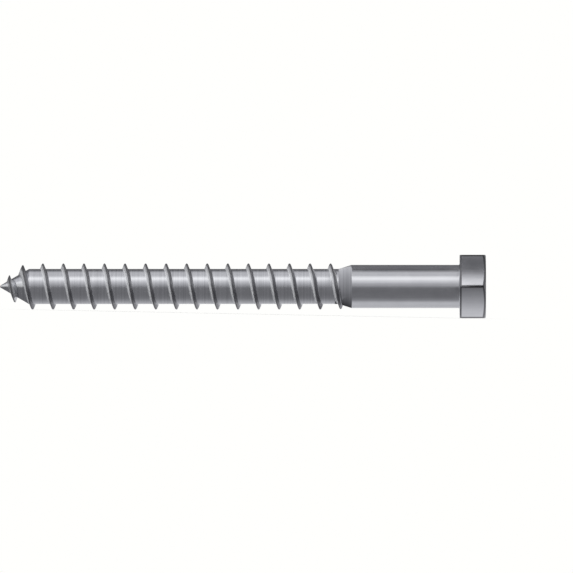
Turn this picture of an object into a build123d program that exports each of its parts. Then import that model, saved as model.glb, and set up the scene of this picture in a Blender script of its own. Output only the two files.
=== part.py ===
from build123d import *
import os
from math import ceil, cos, floor, pi, radians, sin, tan

# A lag screw: a hex head, a plain shank, and a coarse right-hand wood thread that
# runs onto a gimlet point. It is one piece of steel.
#
# The axis lies along X, with the point towards -X and the head towards +X. The
# origin is the middle of the head's bearing face, and two of the head's flats
# face up and down.

# Overall
length = 80.0               # from the bearing face to the tip
head_height = 4.5           # along the axis
across_flats = 11.0         # spanner size

# Head details
corner_radius = 0.25        # of the six long edges
rim_radius = 0.12           # of the edge round the bearing face
chamfer_inset = 0.2         # from a flat in to the circle that the chamfer leaves on the end face
chamfer_angle = 18.0        # of the chamfer to the end face, in degrees
neck_radius = 0.25          # fillet where the shank meets the bearing face

# Shank
shank_diameter = 7.5
shank_length = 18.8         # from the bearing face to the start of the taper
taper_length = 2.2          # from the shank down to the threaded core

# Thread
core_diameter = 6.1
crest_diameter = 8.0
pitch = 3.57
crest_flat = 0.1            # width of the ridge's crest
flank_angle = 40.0          # between the ridge's two flanks, in degrees
fade_turns = 0.5            # share of a turn over which the ridge sinks into the taper

# Point
point_angle = 60.0          # of the whole cone, in degrees
nose_radius = 0.12          # rounding of the tip
first_turn_at = 4.9         # from the tip to the first turn that is spaced by the full pitch
point_turns = 1.5           # turns of the ridge ahead of that one, which run onto the cone
crowding = 0.82             # by how much the turns on the point close up, per turn squared
rise_turns = 0.35           # share of a turn over which the ridge rises out of the cone
point_crest_start = 0.86    # radius that the line of the crests on the point would have at the tip
point_crest_slope = 0.70    # how fast that line widens towards the body, mm per mm

# How the ridge is built
steps_per_turn = 24         # guide points of the ridge in each turn
buried_share = 0.55         # the ridge's foot lies at this share of the body's radius
buried_end = 0.1            # how far the crest lies under the surface where the ridge ends
shortest_length = 0.2       # share of a turn, under which an end of the ridge joins the turn beside it

shank_radius = shank_diameter / 2
core_radius = core_diameter / 2
crest_radius = crest_diameter / 2
cone_slope = tan(radians(point_angle / 2))
thread_length = length - shank_length - taper_length
last_turn = (thread_length - first_turn_at) / pitch


def body_radius(behind_tip):
    """Radius of the plain body under the thread, at a distance behind the tip."""
    if behind_tip <= thread_length:
        return min(core_radius, (behind_tip + nose_radius) * cone_slope)
    share = min(1.0, (behind_tip - thread_length) / taper_length)
    return core_radius + share * (shank_radius - core_radius)


def smooth(share):
    """Ease from 0 to 1, flat at both ends."""
    share = max(0.0, min(1.0, share))
    return share * share * (3 - 2 * share)


def ridge_section(turn):
    """The ridge's four corners at a turn, as (behind the tip, radius) pairs."""
    middle = first_turn_at + pitch * turn + crowding * min(turn, 0.0) ** 2
    body = body_radius(middle)
    full = min(crest_radius, point_crest_start + point_crest_slope * middle)
    risen = smooth((turn + point_turns) / rise_turns) * (1 - smooth((turn - last_turn) / fade_turns))
    hidden = body - min(buried_end, body * (1 - buried_share) / 2)
    crest = hidden + risen * (full - hidden)
    foot = body * buried_share
    half_crest = crest_flat / 2
    half_foot = half_crest + (crest - foot) * tan(radians(flank_angle / 2))
    return [
        (middle - half_foot, foot),
        (middle - half_crest, crest),
        (middle + half_crest, crest),
        (middle + half_foot, foot),
    ]


def ridge_point(turn, corner):
    """One corner of the ridge's section, in space. A whole turn faces -Y."""
    behind_tip, radius = ridge_section(turn)[corner]
    angle = pi + 2 * pi * turn
    return (behind_tip - length, radius * cos(angle), radius * sin(angle))


def ridge_length(first, last):
    """One length of the ridge: four helical faces between guide curves, and two flat ends."""
    count = ceil((last - first) * steps_per_turn)
    turns = [first + (last - first) * step / count for step in range(count + 1)]
    guides = [
        Edge.make_spline([ridge_point(turn, corner) for turn in turns], parameters=turns)
        for corner in range(4)
    ]
    faces = [Face.make_surface_from_curves(guides[side], guides[(side + 1) % 4]) for side in range(4)]
    for turn in (first, last):
        faces.append(Face(Wire.make_polygon([ridge_point(turn, corner) for corner in range(4)])))
    return Solid(Shell(faces))


def make_ridge():
    """The thread's ridge, in lengths of about a turn that meet at the body's seam, on the +Y side."""
    first = -point_turns
    last = last_turn + fade_turns
    seams = [turn + 0.5 for turn in range(floor(first), ceil(last))]
    inner = [seam for seam in seams if first + shortest_length < seam < last - shortest_length]
    ends = [first, *inner, last]
    return [ridge_length(start, end) for start, end in zip(ends, ends[1:])]


def make_blank():
    """The turned shape under the thread: point, core, taper, shank and the fillet at the neck."""
    nose_middle = nose_radius - length
    nose_side = radians(point_angle / 2)
    nose_turn = (pi / 2 - nose_side) / 2
    nose_end = (nose_middle - nose_radius * sin(nose_side), nose_radius * cos(nose_side))
    nose = ThreePointArc(
        (-length, 0),
        (nose_middle - nose_radius * cos(nose_turn), nose_radius * sin(nose_turn)),
        nose_end,
    )
    neck_start = (-neck_radius, shank_radius)
    neck_top = shank_radius + neck_radius
    neck = ThreePointArc(
        neck_start,
        (-neck_radius * (1 - sin(pi / 4)), neck_top - neck_radius * cos(pi / 4)),
        (0, neck_top),
    )
    side = Polyline(
        nose_end,
        (core_radius / cone_slope - nose_radius - length, core_radius),
        (-shank_length - taper_length, core_radius),
        (-shank_length, shank_radius),
        neck_start,
    )
    into_head = head_height / 2
    inside = Polyline((0, neck_top), (into_head, neck_top), (into_head, 0), (-length, 0))
    return revolve(make_face([nose, side, neck, inside]), axis=Axis.X)


def make_head():
    """The hex head: rounded corners and rim, and the chamfer that is turned on its end."""
    hexagon = RegularPolygon(across_flats / 2, 6, major_radius=False)
    hexagon = fillet(hexagon.vertices(), corner_radius)
    prism = extrude(Plane.YZ * hexagon, amount=head_height)
    rim = prism.faces().sort_by(Axis.X)[0].edges()
    prism = fillet(rim, rim_radius)
    circle = across_flats / 2 - chamfer_inset
    outside = across_flats
    slope = tan(radians(chamfer_angle))
    turned = Polyline(
        (0, 0),
        (0, outside),
        (head_height - (outside - circle) * slope, outside),
        (head_height, circle),
        (head_height, 0),
        close=True,
    )
    return prism & revolve(make_face(turned), axis=Axis.X)


os.makedirs("parts", exist_ok=True)
lag_screw = make_head() + make_blank() + make_ridge()
lag_screw.label = "lag_screw"
export_step(lag_screw, "parts/lag_screw.step")
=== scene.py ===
from math import atan2, cos, hypot, pi, radians, sin, tan

import bmesh
import bpy
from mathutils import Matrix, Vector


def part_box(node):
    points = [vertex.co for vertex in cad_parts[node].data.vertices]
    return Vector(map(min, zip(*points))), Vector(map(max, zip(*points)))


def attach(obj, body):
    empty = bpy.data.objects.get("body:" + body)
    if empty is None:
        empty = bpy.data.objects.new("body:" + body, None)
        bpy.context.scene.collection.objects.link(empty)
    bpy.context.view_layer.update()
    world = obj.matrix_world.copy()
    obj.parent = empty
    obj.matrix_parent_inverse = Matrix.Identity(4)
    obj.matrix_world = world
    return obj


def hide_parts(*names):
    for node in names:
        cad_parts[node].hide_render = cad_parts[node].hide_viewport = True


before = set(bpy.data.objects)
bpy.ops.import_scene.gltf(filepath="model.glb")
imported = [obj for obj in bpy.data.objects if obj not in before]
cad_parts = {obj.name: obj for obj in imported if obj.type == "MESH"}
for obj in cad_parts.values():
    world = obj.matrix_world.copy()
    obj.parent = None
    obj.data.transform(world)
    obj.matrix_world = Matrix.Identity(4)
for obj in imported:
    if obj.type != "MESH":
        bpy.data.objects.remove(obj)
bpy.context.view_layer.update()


# The threaded length and its gimlet point. One right-hand ridge is rolled out of the wire
# between two dies, winds round a plain core at an even pitch, closes up where it runs onto
# the cone, and sinks into the taper below the shank. Sizes are in millimetres.
length = 80.0               # from the bearing face to the tip
core_radius = 3.05
crest_radius = 4.0
shank_radius = 3.75
shank_length = 18.8
taper_length = 2.2
thread_length = length - shank_length - taper_length
pitch = 3.57
crest_flat = 0.1
flank_slope = tan(radians(20.0))
fade_turns = 0.5            # over which the ridge sinks into the taper
root_round = 0.09           # fillet at the ridge's foot
cone_slope = tan(radians(30.0))
nose_radius = 0.12
first_turn = 4.9            # behind the tip, where the even pitch starts
last_turn = (thread_length - first_turn) / pitch
point_turns = 1.5           # of the ridge ahead of the even pitch
point_crest_start = 0.86    # radius that the line of the crests on the point has at the tip
point_crest_slope = 0.70
crowding = 0.82             # closing up of the turns on the point
rise_turns = 0.35           # over which the ridge grows out of the cone
buried_end = 0.1            # depth under the surface where the ridge ends
buried_share = 0.225        # of the body's radius, where that is less
lowest_ridge = 0.3          # height under which the ridge keeps its width as it sinks
crest_shoulder = 0.55       # the crest's soft edges start and end at these shares of its half
crest_edge = 1.15
rolled_turns = 22           # wound before the two ends are trimmed off
steps_per_turn = 96
edge_round = 0.08           # half width of the soft edges where the body changes its slope
thinnest = 0.02             # radius that the skin keeps ahead of the tip
hair = 0.001                # two places nearer than this are one
cone_end = core_radius / cone_slope - nose_radius
body_edges = [
    (cone_end, cone_slope, 0.0),
    (thread_length, 0.0, (shank_radius - core_radius) / taper_length),
    (thread_length + taper_length, (shank_radius - core_radius) / taper_length, 0.0),
]


def body_radius(behind):
    """Radius of the plain body under the ridge, at a distance behind the tip."""
    if behind < thread_length:
        radius = min(core_radius, max(thinnest, (behind + nose_radius) * cone_slope))
    else:
        share = min(1.0, (behind - thread_length) / taper_length)
        radius = core_radius + share * (shank_radius - core_radius)
    for edge, before, after in body_edges:
        near = edge_round - abs(behind - edge)
        if near > 0:
            radius += (after - before) * near * near / (4 * edge_round)
    return radius


def smooth(share):
    """Eases from 0 to 1, flat at both ends."""
    share = max(0.0, min(1.0, share))
    return share * share * (3 - 2 * share)


def ridge_middle(turn):
    """How far behind the tip the ridge is at a turn. A whole turn faces -Y."""
    ahead = min(turn, 0.0)
    rolled = max(ahead, -point_turns)
    return first_turn + pitch * turn + crowding * (rolled ** 2 + 2 * rolled * (ahead - rolled))


def ridge_crest(turn):
    """Radius of the ridge's crest at a turn."""
    middle = ridge_middle(turn)
    body = body_radius(middle)
    full = min(crest_radius, point_crest_start + point_crest_slope * middle)
    risen = smooth((turn + point_turns) / rise_turns)
    risen *= 1 - smooth((turn - last_turn) / fade_turns)
    hidden = body - min(buried_end, body * buried_share)
    return hidden + risen * (full - hidden)


def ridge_spot(turn, side, share):
    """A point on one side of the ridge, as (behind the tip, radius).
    The share runs from 0 on the crest over 1 at its edge to 3, where the root fillet
    starts at the foot of the flank, and 4, where it ends on the body."""
    middle, crest = ridge_middle(turn), ridge_crest(turn)
    half = crest_flat / 2
    out = half
    for again in range(5):          # the foot's place and the height there settle together
        foot = body_radius(middle + side * out)
        tall = max(crest - foot, lowest_ridge)
        out = half + tall * flank_slope
    soft = min(root_round, tall / 2)
    if share == 0:
        across, height = crest_shoulder * half, 1.0
    elif share == 1:
        across, height = crest_edge * half, 1 - half / (2 * tall)
    elif share <= 3:
        height = soft / tall + (3 - share) / 2 * (1 - soft / tall)
        across = half + (1 - height) * tall * flank_slope
    else:
        part = share - 3
        flank, corner, body = (1 - part) ** 2, 2 * part * (1 - part), part ** 2
        across = flank * (out - soft * flank_slope) + corner * out + body * (out + soft)
        height = flank * soft / tall
    behind = middle + side * across
    body = body_radius(behind)
    return behind, body + height * max(crest - body, 0.0)


ridge_shares = [0, 1, 1.67, 2.33, 3, 3.33, 3.67, 4]
root_cells = 14             # of the plain root between two turns


def skin_spot(turn, station):
    """A point of the rolled skin. Stations run over one pitch from root to root."""
    kind, side, share = station
    if kind == "ridge":
        return ridge_spot(turn, side, share)
    start = turn if side > 0 else turn - 1
    low, high = ridge_spot(start, 1, 4)[0], ridge_spot(start + 1, -1, 4)[0]
    behind = low + share * (high - low)
    return behind, body_radius(behind)


stations = [("root", -1, cell / root_cells) for cell in range(root_cells // 2, root_cells)]
stations += [("ridge", -1, share) for share in reversed(ridge_shares)]
stations += [("ridge", 1, share) for share in ridge_shares]
stations += [("root", 1, cell / root_cells) for cell in range(1, root_cells // 2 + 1)]

# The section over one pitch is drawn point by point, then wound round the axis.
sample_turn = 8
start_turn = -4
section = [skin_spot(sample_turn, station) for station in stations]
offsets = [behind - ridge_middle(sample_turn) for behind, radius in section]
start_middle = first_turn + pitch * start_turn
bpy.ops.object.select_all(action="DESELECT")
bpy.ops.mesh.primitive_plane_add(size=1, location=(0, 0, 0))
screw = bpy.context.object
screw.name = "lag_screw_body"
screw.data.name = "lag_screw_body"
bpy.ops.object.mode_set(mode="EDIT")
bpy.ops.mesh.select_mode(type="VERT")
bpy.ops.mesh.select_all(action="SELECT")
bpy.ops.mesh.merge(type="CENTER")
here = (start_middle + offsets[0] - length, -section[0][1])
bpy.ops.transform.translate(value=(*here, 0))
for offset, (behind, radius) in zip(offsets[1:], section[1:]):
    there = (start_middle + offset - length, -radius)
    move = (there[0] - here[0], there[1] - here[1], 0)
    bpy.ops.mesh.extrude_vertices_move(TRANSFORM_OT_translate={"value": move})
    here = there
bpy.ops.object.mode_set(mode="OBJECT")
roll = screw.modifiers.new("roll", "SCREW")
roll.axis = "X"
roll.screw_offset = pitch
roll.iterations = rolled_turns
roll.steps = roll.render_steps = steps_per_turn
roll.use_merge_vertices = False
bpy.ops.object.modifier_apply(modifier=roll.name)
bpy.ops.object.mode_set(mode="EDIT")
bpy.ops.mesh.select_all(action="SELECT")
bpy.ops.mesh.remove_doubles(threshold=hair)
bpy.ops.object.mode_set(mode="OBJECT")

# The wound skin is pressed to the screw's own shape: crowded turns and a rising ridge on the
# cone, a sinking ridge on the taper, round fillets at the ridge's foot.
for corner in screw.data.vertices:
    behind = corner.co.x + length
    angle = atan2(corner.co.z, corner.co.y)
    part = ((angle - pi) / (2 * pi)) % 1.0
    turn = round((behind - first_turn) / pitch - part) + part
    offset = behind - first_turn - pitch * turn
    nearest = min(range(len(offsets)), key=lambda place: abs(offsets[place] - offset))
    behind, radius = skin_spot(turn, stations[nearest])
    corner.co = (behind - length, radius * cos(angle), radius * sin(angle))


def skin_radius(behind, angle):
    """Radius of the finished skin at a distance behind the tip and an angle round the axis."""
    part = ((angle - pi) / (2 * pi)) % 1.0
    low_turn = part + max(start_turn, int((behind - first_turn) / pitch) - 3)
    while ridge_middle(low_turn + 1) <= behind:
        low_turn += 1
    half = [station for station in stations if station[1] > 0]
    other = [station for station in stations if station[1] < 0]
    spots = [skin_spot(low_turn, station) for station in half]
    spots += [skin_spot(low_turn + 1, station) for station in other]
    for (low, low_radius), (high, high_radius) in zip(spots, spots[1:]):
        if low <= behind <= high and high > low:
            share = (behind - low) / (high - low)
            above = (1 - share) * (low_radius - body_radius(low))
            above += share * (high_radius - body_radius(high))
            return body_radius(behind) + above
    return None


def cut_ring(behind, clear_tip=False, clear_head=False):
    """A ring of edges square to the axis, which may also trim one side off."""
    bpy.ops.object.mode_set(mode="EDIT")
    bpy.ops.mesh.select_all(action="SELECT")
    bpy.ops.mesh.bisect(
        plane_co=(behind - length, 0, 0),
        plane_no=(1, 0, 0),
        clear_inner=clear_tip,
        clear_outer=clear_head,
        threshold=hair / 2,
    )
    bpy.ops.object.mode_set(mode="OBJECT")
    for corner in screw.data.vertices:
        if abs(corner.co.x + length - behind) < hair:
            radius = skin_radius(behind, atan2(corner.co.z, corner.co.y))
            if radius is not None:
                size = radius / hypot(corner.co.y, corner.co.z)
                corner.co = (behind - length, corner.co.y * size, corner.co.z * size)


# Rings of edges stand where the body changes its slope, and the two ends are trimmed off.
tip_ring = 0.55             # behind the tip, where the wound skin ends
for edge in (cone_end, thread_length, thread_length + taper_length):
    for side in (-1, 0, 1):
        if side == 1 and edge > thread_length:
            cut_ring(edge + edge_round, clear_head=True)
        else:
            cut_ring(edge + side * edge_round)
cut_ring(tip_ring, clear_tip=True)
bpy.ops.object.mode_set(mode="EDIT")
bpy.ops.mesh.select_all(action="SELECT")
bpy.ops.mesh.remove_doubles(threshold=4 * hair)
bpy.ops.object.mode_set(mode="OBJECT")


# The nose of the point: the cone runs on to a small round end, which the dies leave a
# little blunt. It carries the skin on from the thread's first ring.
nose_rings = (tip_ring, 0.3, 0.15)  # on the cone, behind the tip
reach = 0.02                # how near its place a ring of edges is looked for


def choose_edges(wanted, border=False):
    """Selects the edges whose two ends are both wanted, or only those on an open border."""
    bpy.ops.mesh.select_mode(type="EDGE")
    bpy.ops.mesh.select_all(action="DESELECT")
    mesh = bmesh.from_edit_mesh(bpy.context.object.data)
    for edge in mesh.edges:
        chosen = all(wanted(corner.co) for corner in edge.verts)
        edge.select_set(chosen and (edge.is_boundary or not border))
    bmesh.update_edit_mesh(bpy.context.object.data)


def to_circle(x, radius):
    """Brings the chosen corners onto a circle round the axis."""
    mesh = bmesh.from_edit_mesh(bpy.context.object.data)
    for corner in mesh.verts:
        if corner.select:
            size = radius / hypot(corner.co.y, corner.co.z)
            corner.co = (x, corner.co.y * size, corner.co.z * size)
    bmesh.update_edit_mesh(bpy.context.object.data)


def pull_rings(places):
    """Extrudes the chosen ring of edges along the axis, through (x, radius) places."""
    to_circle(*places[0])
    for (x, radius), (next_x, next_radius) in zip(places, places[1:]):
        bpy.ops.mesh.extrude_edges_move(TRANSFORM_OT_translate={"value": (next_x - x, 0, 0)})
        size = next_radius / radius
        bpy.ops.transform.resize(value=(1, size, size), center_override=(0, 0, 0))


bpy.ops.object.mode_set(mode="EDIT")
choose_edges(lambda spot: spot.x < tip_ring - length + reach, border=True)
nose = [(behind - length, (behind + nose_radius) * cone_slope) for behind in nose_rings]
for degrees in (60, 40, 20):
    bend = radians(degrees)
    nose.append((nose_radius * (1 - cos(bend)) - length, nose_radius * sin(bend)))
pull_rings(nose)
bpy.ops.mesh.extrude_edges_move(TRANSFORM_OT_translate={"value": (-length - nose[-1][0], 0, 0)})
bpy.ops.mesh.merge(type="CENTER")


# The plain shank, left as the drawn wire came, with a fillet under the head where it was
# upset. It carries straight on from the taper.
neck_radius = 0.25
choose_edges(lambda spot: spot.x > edge_round - shank_length - reach, border=True)
shank = [(edge_round - shank_length, shank_radius)]
shank += [(-shank_length * (1 - share), shank_radius) for share in (0.25, 0.5, 0.75)]
for degrees in (0, 22.5, 45, 67.5, 90):
    bend = radians(degrees)
    shank.append((-neck_radius * (1 - sin(bend)), shank_radius + neck_radius * (1 - cos(bend))))
pull_rings(shank)
bpy.ops.object.mode_set(mode="OBJECT")


# The hex head, upset cold and trimmed square in a die, with a chamfer on its end.
# Its six long edges and the rim round the bearing face are a little rounded.
head_height = 4.5
across_flats = 11.0
corner_radius = 0.25
rim_radius = 0.12
chamfer_circle = across_flats / 2 - 0.2
chamfer_slope = tan(radians(18.0))
chamfer_edge = 0.05         # width of the soft edge between a flat and the chamfer
chamfer_foot = 3.9          # lower than the chamfer comes down at the corners
across_corners = across_flats / cos(pi / 6)
bearing_circle = 4.9        # radius of a ring of edges on the bearing face
end_circles = (4.6, 3.2, 1.8, 0.6)  # and of those on the end face
flat_cuts = 15              # that divide each flat along its width
bpy.ops.object.select_all(action="DESELECT")
bpy.ops.mesh.primitive_circle_add(
    vertices=6, radius=across_corners / 2, location=(0, 0, 0), rotation=(0, pi / 2, 0)
)
head = bpy.context.object
head.name = "head"
bpy.ops.object.transform_apply(location=True, rotation=True, scale=True)
bpy.ops.object.mode_set(mode="EDIT")
bpy.ops.mesh.select_mode(type="VERT")
bpy.ops.mesh.select_all(action="SELECT")
bpy.ops.mesh.bevel(
    affect="VERTICES",
    offset=corner_radius * tan(pi / 6),
    offset_type="OFFSET",
    segments=6,
    profile=0.5,
)
choose_edges(lambda spot: True)
mesh = bmesh.from_edit_mesh(head.data)
for edge in mesh.edges:
    edge.select_set(edge.calc_length() > 4 * corner_radius)
bmesh.update_edit_mesh(head.data)
bpy.ops.mesh.subdivide(number_cuts=flat_cuts)
bpy.ops.mesh.select_all(action="SELECT")
bpy.ops.mesh.extrude_edges_move(TRANSFORM_OT_translate={"value": (head_height, 0, 0)})
mesh = bmesh.from_edit_mesh(head.data)
for corner in mesh.verts:
    if corner.select:
        beyond = hypot(corner.co.y, corner.co.z) - chamfer_circle
        corner.co.x = head_height - beyond * chamfer_slope
bmesh.update_edit_mesh(head.data)
bpy.ops.mesh.extrude_edges_move(TRANSFORM_OT_translate={"value": (0, 0, 0)})
to_circle(head_height, chamfer_circle)
for radius in end_circles:
    bpy.ops.mesh.extrude_edges_move(TRANSFORM_OT_translate={"value": (0, 0, 0)})
    to_circle(head_height, radius)
bpy.ops.mesh.extrude_edges_move(TRANSFORM_OT_translate={"value": (0, 0, 0)})
bpy.ops.mesh.merge(type="CENTER")
choose_edges(lambda spot: spot.x < hair)
bpy.ops.mesh.extrude_edges_move(TRANSFORM_OT_translate={"value": (0, 0, 0)})
to_circle(0, bearing_circle)
bpy.ops.mesh.select_all(action="SELECT")
bpy.ops.mesh.normals_make_consistent(inside=False)
outside = across_flats / 2 - hair
choose_edges(lambda spot: spot.x < hair and hypot(spot.y, spot.z) > outside)
bpy.ops.mesh.bevel(
    affect="EDGES", offset=rim_radius, offset_type="OFFSET", segments=3, profile=0.5
)
choose_edges(
    lambda spot: chamfer_foot < spot.x < head_height - 10 * hair
    and hypot(spot.y, spot.z) > outside
)
bpy.ops.mesh.bevel(
    affect="EDGES", offset=chamfer_edge, offset_type="OFFSET", segments=2, profile=0.5
)
choose_edges(
    lambda spot: spot.x > head_height - hair
    and abs(hypot(spot.y, spot.z) - chamfer_circle) < hair
)
bpy.ops.mesh.mark_sharp()
bpy.ops.object.mode_set(mode="OBJECT")


# The head and the shank are one piece of wire, so their two skins are joined into one
# closed skin. The bearing face closes it.
head.select_set(True)
screw.select_set(True)
bpy.context.view_layer.objects.active = screw
bpy.ops.object.join()
bpy.ops.object.mode_set(mode="EDIT")
choose_edges(lambda spot: abs(spot.x) < reach, border=True)
bpy.ops.mesh.fill(use_beauty=True)
bpy.ops.mesh.select_all(action="SELECT")
bpy.ops.mesh.remove_doubles(threshold=1.2 * hair)
bpy.ops.mesh.normals_make_consistent(inside=False)
bpy.ops.mesh.faces_shade_smooth()
bpy.ops.object.mode_set(mode="OBJECT")

# Each stretch of the skin has the finish that its own tool left, under bright zinc.
mm = 0.001
zinc_grey = (0.565, 0.571, 0.591)
zinc_dull = (0.505, 0.511, 0.531)
# Tones of painted light and shade: a paler tone on the ridge's flank towards the point, dark
# tones on its flank towards the head, along its crest and along the edges of the head's flats.
lit_flank_tone = ((0.735, 0.742, 0.765), 0.36)   # tone and roughness
shaded_flank_tone = ((0.22, 0.22, 0.232), 0.47)
crest_shade_tone = ((0.2, 0.2, 0.21), 0.35)
edge_shade_tone = ((0.17, 0.17, 0.178), 0.3)
clouds_per_metre = 420.0
line_height = 0.0006 * mm   # of the tool's fine lines
lit_flank_metal = 0.35        # how far the flank with painted light still mirrors as metal
edge_shade_until = 0.18 * mm     # from the edge of a flat
edge_shade_gone_from = 0.36 * mm


def add_nodes(owner, *kinds):
    """New nodes of these kinds, in a material or in the world."""
    return [owner.node_tree.nodes.new(kind) for kind in kinds]


def zinc_finish(name, lines, rough, streaks=0.5, turned=False, ridged=False, edged=False,
                tones=(zinc_dull, zinc_grey)):
    """Bright zinc on steel. Lines are how close the tool's marks lie along and across the
    axis, per metre, and turned marks lie in circles round it. Streaks are their share in the
    colour, which lies between the two tones. On a ridge, light is painted on the flank towards
    the point as a paler, less metallic zinc, and shade is painted on the flank towards the head
    and along the crest. Along the edges of a flat, shade is painted as narrow darker, duller
    lines."""
    material = bpy.data.materials.new(name)
    material.use_nodes = True
    wires = material.node_tree.links
    shader = material.node_tree.nodes["Principled BSDF"]
    shader.inputs["Metallic"].default_value = 1.0
    shader.inputs["Anisotropic"].default_value = 0.7

    # Away from the axis and round it, at each point of the skin.
    place, parts, flat, size = add_nodes(
        material,
        "ShaderNodeTexCoord",
        "ShaderNodeSeparateXYZ",
        "ShaderNodeCombineXYZ",
        "ShaderNodeVectorMath",
    )
    wires.new(place.outputs["Object"], parts.inputs[0])
    wires.new(parts.outputs["Y"], flat.inputs["Y"])
    wires.new(parts.outputs["Z"], flat.inputs["Z"])
    size.operation = "LENGTH"
    wires.new(flat.outputs[0], size.inputs[0])
    back, around, unit = add_nodes(
        material, "ShaderNodeMath", "ShaderNodeCombineXYZ", "ShaderNodeVectorMath"
    )
    back.operation = "MULTIPLY"
    back.inputs[1].default_value = -1.0
    wires.new(parts.outputs["Z"], back.inputs[0])
    wires.new(back.outputs[0], around.inputs["Y"])
    wires.new(parts.outputs["Y"], around.inputs["Z"])
    unit.operation = "NORMALIZE"
    wires.new(around.outputs[0], unit.inputs[0])
    wires.new(unit.outputs[0], shader.inputs["Tangent"])

    # The tool's own fine lines, and the broader clouding of the zinc.
    stretch, grain, cloud, both = add_nodes(
        material,
        "ShaderNodeMapping",
        "ShaderNodeTexNoise",
        "ShaderNodeTexNoise",
        "ShaderNodeMix",
    )
    source = place.outputs["Object"]
    if turned:
        ring = add_nodes(material, "ShaderNodeCombineXYZ")[0]
        wires.new(parts.outputs["X"], ring.inputs["X"])
        wires.new(size.outputs["Value"], ring.inputs["Y"])
        source = ring.outputs[0]
    stretch.inputs["Scale"].default_value = (lines[0], lines[1], lines[1])
    wires.new(source, stretch.inputs["Vector"])
    grain.inputs["Scale"].default_value = 1.0
    grain.inputs["Detail"].default_value = 4.0
    grain.inputs["Roughness"].default_value = 0.6
    wires.new(stretch.outputs[0], grain.inputs["Vector"])
    cloud.inputs["Scale"].default_value = clouds_per_metre
    cloud.inputs["Detail"].default_value = 3.0
    wires.new(place.outputs["Object"], cloud.inputs["Vector"])
    both.inputs["Factor"].default_value = streaks
    wires.new(cloud.outputs["Fac"], both.inputs["A"])
    wires.new(grain.outputs["Fac"], both.inputs["B"])

    tint, spread = add_nodes(material, "ShaderNodeValToRGB", "ShaderNodeMapRange")
    for mark, position, tone in zip(tint.color_ramp.elements, (0.30, 0.62), tones):
        mark.position = position
        mark.color = (*tone, 1)
    wires.new(both.outputs["Result"], tint.inputs["Fac"])
    spread.inputs["From Min"].default_value = 0.3
    spread.inputs["From Max"].default_value = 0.7
    spread.inputs["To Min"].default_value = rough[0]
    spread.inputs["To Max"].default_value = rough[1]
    wires.new(both.outputs["Result"], spread.inputs["Value"])
    colour, roughness = tint.outputs["Color"], spread.outputs["Result"]

    def cover(share, tone, dullness):
        """The finish so far, under another tone and roughness by a share at each point."""
        shade, dull = add_nodes(material, "ShaderNodeMix", "ShaderNodeMix")
        shade.data_type = "RGBA"
        shade.inputs["B"].default_value = (*tone, 1)
        dull.inputs["B"].default_value = dullness
        wires.new(share, shade.inputs["Factor"])
        wires.new(share, dull.inputs["Factor"])
        wires.new(colour, shade.inputs["A"])
        wires.new(roughness, dull.inputs["A"])
        return shade.outputs["Result"], dull.outputs["Result"]

    def work_out(operation, *values):
        """One step of sums, on numbers and on other steps' results."""
        step = add_nodes(material, "ShaderNodeMath")[0]
        step.operation = operation
        for socket, value in zip(step.inputs, values):
            if isinstance(value, float):
                socket.default_value = value
            else:
                wires.new(value, socket)
        return step.outputs[0]

    if ridged:
        # Painted light on the ridge's flank towards the point, as a paler and less metallic zinc;
        # painted shade on its flank towards the head and along its crest.
        lit_share, shade_share, crest_shade_share = add_nodes(material, *["ShaderNodeAttribute"] * 3)
        lit_share.attribute_name = "flank_light"
        shade_share.attribute_name = "flank_shade"
        crest_shade_share.attribute_name = "crest_shade"
        colour, roughness = cover(lit_share.outputs["Fac"], *lit_flank_tone)
        colour, roughness = cover(shade_share.outputs["Fac"], *shaded_flank_tone)
        colour, roughness = cover(crest_shade_share.outputs["Fac"], *crest_shade_tone)
        metal = add_nodes(material, "ShaderNodeMapRange")[0]
        metal.inputs["To Min"].default_value = 1.0
        metal.inputs["To Max"].default_value = lit_flank_metal
        wires.new(lit_share.outputs["Fac"], metal.inputs["Value"])
        wires.new(metal.outputs["Result"], shader.inputs["Metallic"])
    if edged:
        # How far a point of a flat is from its long edges, from the chamfer and from the rim.
        out_from_axis, along = size.outputs["Value"], parts.outputs["X"]
        apothem = across_flats / 2 * mm
        sideways = work_out("MULTIPLY", out_from_axis, out_from_axis)
        sideways = work_out("MAXIMUM", work_out("SUBTRACT", sideways, apothem ** 2), 0.0)
        to_corner = work_out("SUBTRACT", apothem * tan(pi / 6), work_out("SQRT", sideways))
        end_edge = (head_height + chamfer_circle * chamfer_slope) * mm
        to_end = work_out("MULTIPLY_ADD", out_from_axis, -chamfer_slope, end_edge)
        to_end = work_out("SUBTRACT", to_end, along)
        to_edge = work_out("MINIMUM", work_out("MINIMUM", to_corner, to_end), along)
        # Shade painted as dark, duller lines along the edges of each flat, by that distance.
        near = add_nodes(material, "ShaderNodeMapRange")[0]
        near.interpolation_type = "SMOOTHSTEP"
        near.inputs["From Min"].default_value = edge_shade_until
        near.inputs["From Max"].default_value = edge_shade_gone_from
        near.inputs["To Min"].default_value = 1.0
        near.inputs["To Max"].default_value = 0.0
        wires.new(to_edge, near.inputs["Value"])
        colour, roughness = cover(near.outputs["Result"], *edge_shade_tone)
    wires.new(colour, shader.inputs["Base Color"])
    wires.new(roughness, shader.inputs["Roughness"])

    bump = add_nodes(material, "ShaderNodeBump")[0]
    bump.inputs["Strength"].default_value = 1.0
    bump.inputs["Distance"].default_value = line_height
    wires.new(grain.outputs["Fac"], bump.inputs["Height"])
    wires.new(bump.outputs["Normal"], shader.inputs["Normal"])
    return material


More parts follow.
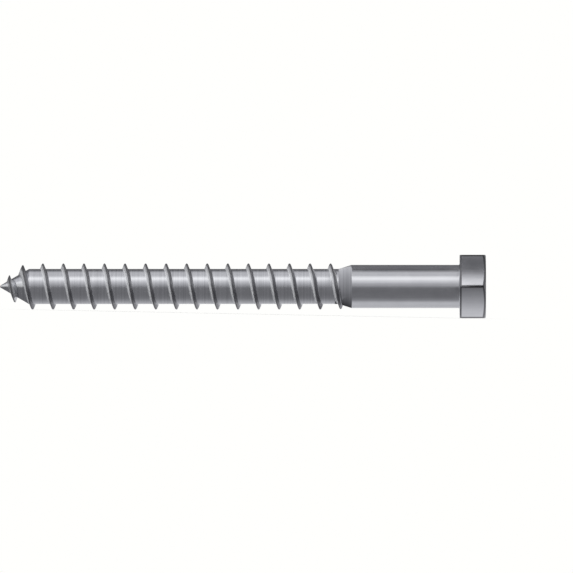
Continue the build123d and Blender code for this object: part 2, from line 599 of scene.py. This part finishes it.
rolled = zinc_finish(
    "rolled thread, bright zinc",
    lines=(3200, 60),
    rough=(0.14, 0.22),
    streaks=0.85,
    turned=True,
    ridged=True,
    tones=((0.44, 0.446, 0.464), (0.604, 0.611, 0.632)),
)
drawn = zinc_finish("drawn shank, bright zinc", lines=(60, 9000), rough=(0.13, 0.20))
# The flats carry painted shade along their edges.
trimmed = zinc_finish(
    "trimmed flats, bright zinc", lines=(120, 7000), rough=(0.10, 0.17), edged=True
)
faced = zinc_finish(
    "faced end, bright zinc", lines=(2000, 9000), rough=(0.16, 0.24), turned=True
)
# The chamfer's zinc is painted very dark, as painted shade.
chamfered = zinc_finish(
    "chamfer, zinc painted dark",
    lines=(5000, 900),
    rough=(0.26, 0.34),
    turned=True,
    tones=((0.13, 0.13, 0.14), (0.17, 0.17, 0.18)),
)
finishes = [rolled, drawn, trimmed, faced, chamfered]
for finish in finishes:
    screw.data.materials.append(finish)
rim_reach = 0.15            # how far in from a flat the rounded rim comes
for face in screw.data.polygons:
    along = face.center.x
    out = hypot(face.center.y, face.center.z)
    if along < -shank_length:
        finish = rolled
    elif along < -hair and out < shank_radius + neck_radius:
        finish = drawn
    elif along > head_height / 2 and out > chamfer_circle and face.normal.x > 0.5:
        finish = chamfered
    elif out > across_flats / 2 - rim_reach and hair < along < head_height - hair:
        finish = trimmed
    else:
        finish = faced
    face.material_index = finishes.index(finish)

# Where light and shade are painted on the ridge: painted light on its flank towards the point,
# painted shade on its flank towards the head and along its crest. On the turns of the point
# both flanks get some painted light and no painted shade, so they look nearly alike.
flank_rise = 0.15           # height over which a flank takes on its painted light or shade
crest_shade_from = 0.6            # share of the ridge's height where the painted shade of the crest begins
crest_shade_rise = 0.2
root_reach = 0.25           # how far the painted light runs out over the root
crest_line = 0.02           # half width of the crest's middle, which is on neither flank
alike_until = -1.0          # turn up to which the flanks are alike
alike_fade = 0.8
point_flank_light = 0.4           # share of the painted light there, on the flank towards the point
point_back_flank_light = 0.7      # and on the other flank
most_flank_shade = 0.78
whole_turns = range(-3, 17)     # these reach past both ends of the ridge
for name in ("crest_shade", "flank_light", "flank_shade"):
    screw.data.attributes.new(name, "FLOAT", "POINT")
crest_shade = screw.data.attributes["crest_shade"].data
flank_light = screw.data.attributes["flank_light"].data
flank_shade = screw.data.attributes["flank_shade"].data
for corner in screw.data.vertices:
    if corner.co.x > -shank_length:
        continue
    behind = corner.co.x + length
    above = hypot(corner.co.y, corner.co.z) - body_radius(behind)
    part = ((atan2(corner.co.z, corner.co.y) - pi) / (2 * pi)) % 1.0
    near = [part + whole for whole in whole_turns]
    turn = min(near, key=lambda turn: abs(ridge_middle(turn) - behind))
    offset = behind - ridge_middle(turn)
    stands = ridge_crest(turn) - body_radius(ridge_middle(turn))
    tall = max(stands, lowest_ridge)
    on_flank = smooth(above / flank_rise)
    on_crest = smooth((above / tall - crest_shade_from) / crest_shade_rise)
    past_point = smooth((turn - alike_until) / alike_fade)
    if offset < -crest_line:
        foot = crest_flat / 2 + tall * flank_slope
        by_foot = (1 - smooth((-offset - foot) / root_reach)) * smooth(stands / tall)
        # Painted light on the flank towards the point.
        lit_share = max(on_flank, by_foot) * (1 - on_crest)
        flank_light[corner.index].value = lit_share * (point_flank_light + (1 - point_flank_light) * past_point)
    elif offset > crest_line:
        # Painted shade on the flank towards the head.
        flank_shade[corner.index].value = most_flank_shade * on_flank * past_point
        flank_light[corner.index].value = point_back_flank_light * on_flank * (1 - past_point)
    # Painted shade along the crest.
    crest_shade[corner.index].value = on_crest

# The skin becomes life size, and its shading keeps the large faces flat.
screw.scale = (mm, mm, mm)
bpy.ops.object.select_all(action="DESELECT")
screw.select_set(True)
bpy.ops.object.transform_apply(location=True, rotation=True, scale=True)
weigh = screw.modifiers.new("weigh", "WEIGHTED_NORMAL")
weigh.mode = "FACE_AREA"
weigh.keep_sharp = True
bpy.ops.object.modifier_apply(modifier=weigh.name)
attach(screw, "root")
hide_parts("lag_screw")


# The table: a large pale board under the screw, leaning a little, because the screw lies on
# the rim of its head and on one crest near the point. Further out it passes into white.
rim_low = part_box("lag_screw")[0].z
far_crest = -0.0755         # where along the screw that crest is, and how low
crest_low = -0.004
lean = (rim_low - crest_low) / far_crest
table_size = 2.4
paper_white = (1, 1, 0.985, 1)
matt_middle = (-0.038, 0, -0.005)
matt_until, white_from = 0.01, 0.032    # away from there, and twice that along the screw
bpy.ops.object.select_all(action="DESELECT")
bpy.ops.mesh.primitive_grid_add(
    x_subdivisions=8, y_subdivisions=8, size=table_size, location=(0, 0, 0)
)
board = bpy.context.object
board.name = "table"
board.rotation_euler = (0, lean, 0)
board.location = (0, 0, rim_low)
bpy.ops.object.transform_apply(location=True, rotation=True, scale=True)


def seen_directly(owner):
    """1 where a ray comes from the camera, or from metal or glass, and 0 elsewhere."""
    path, seen, seen_more = add_nodes(
        owner, "ShaderNodeLightPath", "ShaderNodeMath", "ShaderNodeMath"
    )
    seen.operation = seen_more.operation = "MAXIMUM"
    links = owner.node_tree.links
    links.new(path.outputs["Is Camera Ray"], seen.inputs[0])
    links.new(path.outputs["Is Glossy Ray"], seen.inputs[1])
    links.new(seen.outputs[0], seen_more.inputs[0])
    links.new(path.outputs["Is Transmission Ray"], seen_more.inputs[1])
    return seen_more.outputs[0]


# Its paint is matt near the screw, where it takes the shadow, and passes into plain white.
pale = bpy.data.materials.new("pale table")
pale.use_nodes = True
pale.node_tree.nodes.clear()
wires = pale.node_tree.links
place, centre, squeeze, away, fade, far_out = add_nodes(
    pale,
    "ShaderNodeTexCoord",
    "ShaderNodeVectorMath",
    "ShaderNodeVectorMath",
    "ShaderNodeVectorMath",
    "ShaderNodeMapRange",
    "ShaderNodeMath",
)
matt, white, blend, out = add_nodes(
    pale,
    "ShaderNodeBsdfDiffuse",
    "ShaderNodeEmission",
    "ShaderNodeMixShader",
    "ShaderNodeOutputMaterial",
)
matt.inputs["Color"].default_value = (0.95, 0.95, 0.94, 1)
white.inputs["Color"].default_value = paper_white
centre.operation = "SUBTRACT"
centre.inputs[1].default_value = matt_middle
wires.new(place.outputs["Object"], centre.inputs[0])
squeeze.operation = "MULTIPLY"
squeeze.inputs[1].default_value = (0.5, 1, 1)
wires.new(centre.outputs[0], squeeze.inputs[0])
away.operation = "LENGTH"
wires.new(squeeze.outputs[0], away.inputs[0])
fade.interpolation_type = "SMOOTHERSTEP"
fade.inputs["From Min"].default_value = matt_until
fade.inputs["From Max"].default_value = white_from
wires.new(away.outputs["Value"], fade.inputs["Value"])
far_out.operation = "MULTIPLY"
wires.new(fade.outputs["Result"], far_out.inputs[0])
wires.new(seen_directly(pale), far_out.inputs[1])
wires.new(far_out.outputs[0], blend.inputs["Fac"])
wires.new(matt.outputs[0], blend.inputs[1])
wires.new(white.outputs[0], blend.inputs[2])
wires.new(blend.outputs[0], out.inputs["Surface"])
board.data.materials.append(pale)


# The room: bare pale walls, which give even grey light on everything, and which are white
# where they are seen directly or in metal.
world = bpy.data.worlds.new("studio")
bpy.context.scene.world = world
world.use_nodes = True
world.node_tree.nodes.clear()
wires = world.node_tree.links
room, white, blend, out = add_nodes(
    world,
    "ShaderNodeBackground",
    "ShaderNodeBackground",
    "ShaderNodeMixShader",
    "ShaderNodeOutputWorld",
)
room.inputs["Color"].default_value = (0.97, 0.97, 0.965, 1)
white.inputs["Color"].default_value = paper_white
wires.new(seen_directly(world), blend.inputs["Fac"])
wires.new(room.outputs[0], blend.inputs[1])
wires.new(white.outputs[0], blend.inputs[2])
wires.new(blend.outputs[0], out.inputs["Surface"])


# The light tent: graded paper bent over the screw and laid round it, which only its metal
# sees, and which draws the light and dark bands along a bright round bar.
brightest = 1.8
coolness = 0.06             # how much bluer the dark paper is
over_table = 0.04 * mm      # gap between the table and a sheet that lies on it


def graded_paper(name, stops, low, high, round_axis=False):
    """Paper whose brightness follows its stops, (place, brightness), between two places:
    across the table in millimetres, or round the screw's axis in degrees up from the front."""
    paper = bpy.data.materials.new(name)
    paper.use_nodes = True
    paper.cycles.emission_sampling = "NONE"
    paper.node_tree.nodes.clear()
    place, parts, spread, ramp, glow, out = add_nodes(
        paper,
        "ShaderNodeTexCoord",
        "ShaderNodeSeparateXYZ",
        "ShaderNodeMapRange",
        "ShaderNodeValToRGB",
        "ShaderNodeEmission",
        "ShaderNodeOutputMaterial",
    )
    wires = paper.node_tree.links
    wires.new(place.outputs["Object"], parts.inputs[0])
    if round_axis:
        front, angle = add_nodes(paper, "ShaderNodeMath", "ShaderNodeMath")
        front.operation, front.inputs[1].default_value = "MULTIPLY", -1.0
        angle.operation = "ARCTAN2"
        wires.new(parts.outputs["Y"], front.inputs[0])
        wires.new(parts.outputs["Z"], angle.inputs[0])
        wires.new(front.outputs[0], angle.inputs[1])
        wires.new(angle.outputs[0], spread.inputs["Value"])
        unit = radians(1)
    else:
        wires.new(parts.outputs["Y"], spread.inputs["Value"])
        unit = mm
    spread.inputs["From Min"].default_value = low * unit
    spread.inputs["From Max"].default_value = high * unit
    marks = ramp.color_ramp.elements
    while len(marks) < len(stops):
        marks.new(0.5)
    for mark, (spot, bright) in zip(marks, stops):
        mark.position = (spot - low) / (high - low)
        level = bright / brightest
        mark.color = (level, level, level * (1 + coolness * (1 - level)), 1)
    glow.inputs["Strength"].default_value = brightest
    wires.new(spread.outputs["Result"], ramp.inputs["Fac"])
    wires.new(ramp.outputs["Color"], glow.inputs["Color"])
    wires.new(glow.outputs[0], out.inputs["Surface"])
    return paper


def for_metal_only(paper_piece, paper):
    """Hangs a paper so that only mirrored rays meet it."""
    for ray in ("camera", "diffuse", "shadow", "transmission", "volume_scatter"):
        setattr(paper_piece, "visible_" + ray, False)
    paper_piece.data.materials.append(paper)


def hang_tent(name, start, end, radius, stops):
    """Paper bent round the screw's axis, from the front of the table to its back."""
    bpy.ops.object.select_all(action="DESELECT")
    bpy.ops.mesh.primitive_cylinder_add(
        vertices=96,
        radius=radius * mm,
        depth=(end - start) * mm,
        end_fill_type="NOTHING",
        location=((start + end) / 2 * mm, 0, 0),
        rotation=(0, pi / 2, 0),
    )
    tent = bpy.context.object
    tent.name = name
    bpy.ops.object.transform_apply(location=True, rotation=True, scale=True)
    bpy.ops.object.mode_set(mode="EDIT")
    bpy.ops.mesh.select_all(action="SELECT")
    bpy.ops.mesh.bisect(plane_co=(0, 0, rim_low), plane_no=(0, 0, 1), clear_inner=True)
    bpy.ops.object.mode_set(mode="OBJECT")
    for_metal_only(tent, graded_paper(name, stops, -20, 180, round_axis=True))


hang_tent("tent_over_thread", -170, -20, 60, [
    (-6, 0.30), (0, 0.40), (10, 0.55), (23, 0.77), (36, 1.05), (43, 1.31), (50, 1.58), (56, 1.63),
    (64, 1.09), (72, 0.82), (82, 0.78), (92, 0.84), (104, 0.78), (111, 0.60), (121, 0.22),
    (138, 0.17), (180, 0.15),
])
hang_tent("tent_over_shank", -20, 1, 60, [
    (-6, 0.28), (0, 0.41), (8, 0.59), (19, 0.79), (30, 1.12), (36, 1.46), (41, 1.60), (47, 1.47),
    (54, 0.97), (60, 0.76), (66, 0.83), (79, 0.84), (84, 0.58), (90, 0.22), (100, 0.18),
    (112, 0.24), (118, 0.26), (130, 0.22), (180, 0.15),
])
hang_tent("tent_over_head", 1, 25, 20, [(-16, 0.12), (60, 0.12), (120, 0.2), (180, 0.5)])


def lay_sheet(name, start, end, stops, front=-150, back=120, height=None):
    """A flat sheet across the table, or at its own height over it."""
    bpy.ops.object.select_all(action="DESELECT")
    bpy.ops.mesh.primitive_plane_add(size=1, location=(0, 0, 0))
    sheet = bpy.context.object
    sheet.name = name
    for corner in sheet.data.vertices:
        x, y = end if corner.co.x > 0 else start, back if corner.co.y > 0 else front
        on_table = rim_low - x * mm * tan(lean) + over_table
        corner.co = (x * mm, y * mm, on_table if height is None else height * mm)
    for_metal_only(sheet, graded_paper(name, stops, front, back))


lay_sheet("sheet_by_point", -170, -75.2, [(0, 0.2), (60, 0.2)])
lay_sheet("sheet_under_thread", -75.2, -21.7, [
    (-10, 0.24), (-5, 0.235), (-3, 0.27), (-2.1, 0.31), (-1.5, 0.40), (-0.6, 0.56), (0.8, 0.64),
    (4.0, 0.72), (7, 1.3), (60, 1.3),
])
lay_sheet("sheet_under_taper", -21.7, -19, [
    (-6, 0.26), (-4.8, 0.23), (-2.3, 0.16), (-0.5, 0.10), (1.7, 0.05), (7, 0.05), (14, 0.8),
    (30, 0.8),
])
lay_sheet("sheet_under_shank", -19, -0.1, [
    (-10, 0.23), (-5.5, 0.25), (-3.6, 0.33), (-3.1, 0.46), (-2.5, 0.74), (-1.3, 0.80),
    (-0.7, 0.76), (0.1, 0.70), (1.5, 0.74), (4, 0.80), (20, 0.80),
])
lay_sheet("sheet_under_head", -0.1, 60, [
    (-13, 0.06), (-10.6, 0.08), (-9.4, 0.24), (-8.0, 0.35), (-6.2, 0.57), (-4.4, 0.87),
    (-3.6, 0.95), (20, 0.95),
])
lay_sheet("sheet_over_head", -0.1, 60, [
    (-12.6, 1.45), (-11.2, 1.45), (-10.5, 0.9), (-9.7, 0.52), (-9.0, 0.25), (-8.6, 0.21),
    (-6.6, 0.22), (-5.8, 0.32), (-4.8, 0.14), (4, 0.16), (20, 0.5), (60, 0.6),
], front=-12.6, height=10)


# The collar: a graded ring of paper round the bar where the thread ends. Only the taper, which
# looks back along the bar, shows it.
collar_place = -22.5 * mm
collar_hole = 4.3 * mm
collar_width = 5            # times the hole
bpy.ops.object.select_all(action="DESELECT")
bpy.ops.mesh.primitive_circle_add(
    vertices=96,
    radius=collar_hole,
    fill_type="NOTHING",
    location=(collar_place, 0, 0),
    rotation=(0, pi / 2, 0),
)
collar = bpy.context.object
collar.name = "collar"
bpy.ops.object.transform_apply(location=True, rotation=True, scale=True)
bpy.ops.object.mode_set(mode="EDIT")
bpy.ops.mesh.select_all(action="SELECT")
bpy.ops.mesh.extrude_edges_move(TRANSFORM_OT_translate={"value": (0, 0, 0)})
bpy.ops.transform.resize(
    value=(1, collar_width, collar_width), center_override=(0, 0, 0)
)
bpy.ops.mesh.select_all(action="SELECT")
bpy.ops.mesh.bisect(plane_co=(0, 0, rim_low), plane_no=(0, 0, 1), clear_inner=True)
bpy.ops.object.mode_set(mode="OBJECT")
for_metal_only(collar, graded_paper("collar", [
    (-180, 0.86), (-150, 0.60), (-110, 0.30), (-60, 0.20), (-27, 0.29), (-7, 0.35), (12, 0.43),
    (32, 0.51), (54, 0.61), (82, 0.73), (131, 0.86), (180, 0.86),
], -180, 180, round_axis=True))


# The end card: a narrow strip of dark paper that stands on the table before the end of the
# head. It draws the dark band down the middle of the end face.
card_place = 14 * mm
card_front, card_back, card_top = -2.2 * mm, 1.6 * mm, 20 * mm
bpy.ops.object.select_all(action="DESELECT")
bpy.ops.mesh.primitive_plane_add(size=1, location=(0, 0, 0))
end_card = bpy.context.object
end_card.name = "end_card"
for corner in end_card.data.vertices:
    across = card_back if corner.co.x > 0 else card_front
    up = card_top if corner.co.y > 0 else rim_low
    corner.co = (card_place, across, up)
for_metal_only(end_card, graded_paper("end_card", [(-10, 0.1), (10, 0.1)], -10, 10))


# The softbox: one wide lamp that hangs in front of the table and above it. It lights the less
# metallic ridge flanks that carry painted light and gives the soft shadow, and the metal doesn't
# mirror it.
softbox_width, softbox_height = 0.5, 0.075
softbox_brightness = 1.5
bpy.ops.object.light_add(
    type="AREA", location=(-0.035, -0.27, 0.23), rotation=(radians(49.5), 0, 0)
)
softbox = bpy.context.object
softbox.name = "softbox"
softbox.data.shape = "RECTANGLE"
softbox.data.size = softbox_width
softbox.data.size_y = softbox_height
softbox.data.energy = softbox_brightness * pi * softbox_width * softbox_height
softbox.visible_glossy = False


# The camera looks straight at the side of the screw, from far away through a long lens, and
# the whole screw lies inside its frame.
frame_width = 0.09953
middle_x = -0.0301
lens = 1000
bpy.ops.object.camera_add()
camera = bpy.context.object
camera.data.lens = lens
camera.data.sensor_width = 36
distance = frame_width * lens / camera.data.sensor_width
camera.location = (middle_x, -distance, 0)
camera.rotation_euler = (pi / 2, 0, 0)
camera.data.clip_start, camera.data.clip_end = 0.1, 10
bpy.context.scene.camera = camera
bpy.context.scene.view_settings.view_transform = "Standard"
